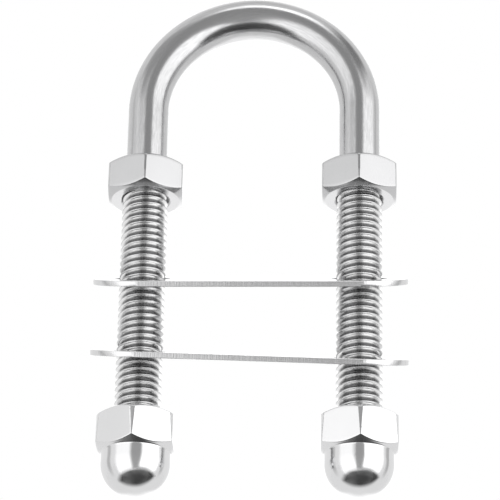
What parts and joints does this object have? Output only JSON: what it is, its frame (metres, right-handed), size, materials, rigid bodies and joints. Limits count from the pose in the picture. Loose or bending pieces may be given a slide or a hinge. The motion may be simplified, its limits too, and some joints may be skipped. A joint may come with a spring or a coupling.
{
  "type": "u-bolt",
  "caption": "Round-bend U-bolt with threaded legs, two clamp plates that slide on them, hexagon nuts above the plates and domed cap nuts on the ends.",
  "frame": {"origin": "midway between the two legs, on the clamp plane halfway between the two plates", "axes": "+Z along the legs towards the bend, +X from the left leg to the right leg, +Y through the eye of the bend, away from the front"},
  "size_m": [0.0548, 0.0162, 0.0956],
  "materials": {
    "rod_steel": "polished stainless rod with a rolled thread",
    "nut_steel": "bright machined stainless",
    "plate_steel": "rolled stainless sheet with stamped edges",
    "cap_steel": "mirror polished stainless"
  },
  "bodies": {
    "rod": {"u_rod": "rod_steel"},
    "left_hex_nut": {"left_hex_nut": "nut_steel"},
    "right_hex_nut": {"right_hex_nut": "nut_steel"},
    "upper_plate": {"upper_plate": "plate_steel"},
    "lower_plate": {"lower_plate": "plate_steel"},
    "left_cap_nut": {"left_cap_nut": "cap_steel"},
    "right_cap_nut": {"right_cap_nut": "cap_steel"}
  },
  "joints": [
    {"name": "left_hex_nut_travel", "type": "slide", "parent": "rod", "child": "left_hex_nut", "axis": [0, 0, 1], "range_m": [-0.005, 0]},
    {"name": "right_hex_nut_travel", "type": "slide", "parent": "rod", "child": "right_hex_nut", "axis": [0, 0, 1], "range_m": [-0.005, 0]},
    {"name": "upper_plate_travel", "type": "slide", "parent": "rod", "child": "upper_plate", "axis": [0, 0, 1], "range_m": [-0.002, 0.005]},
    {"name": "lower_plate_travel", "type": "slide", "parent": "rod", "child": "lower_plate", "axis": [0, 0, 1], "range_m": [-0.005, 0.002]},
    {"name": "left_cap_nut_travel", "type": "slide", "parent": "rod", "child": "left_cap_nut", "axis": [0, 0, 1], "range_m": [-0.01, 0]},
    {"name": "right_cap_nut_travel", "type": "slide", "parent": "rod", "child": "right_cap_nut", "axis": [0, 0, 1], "range_m": [-0.01, 0]}
  ]
}
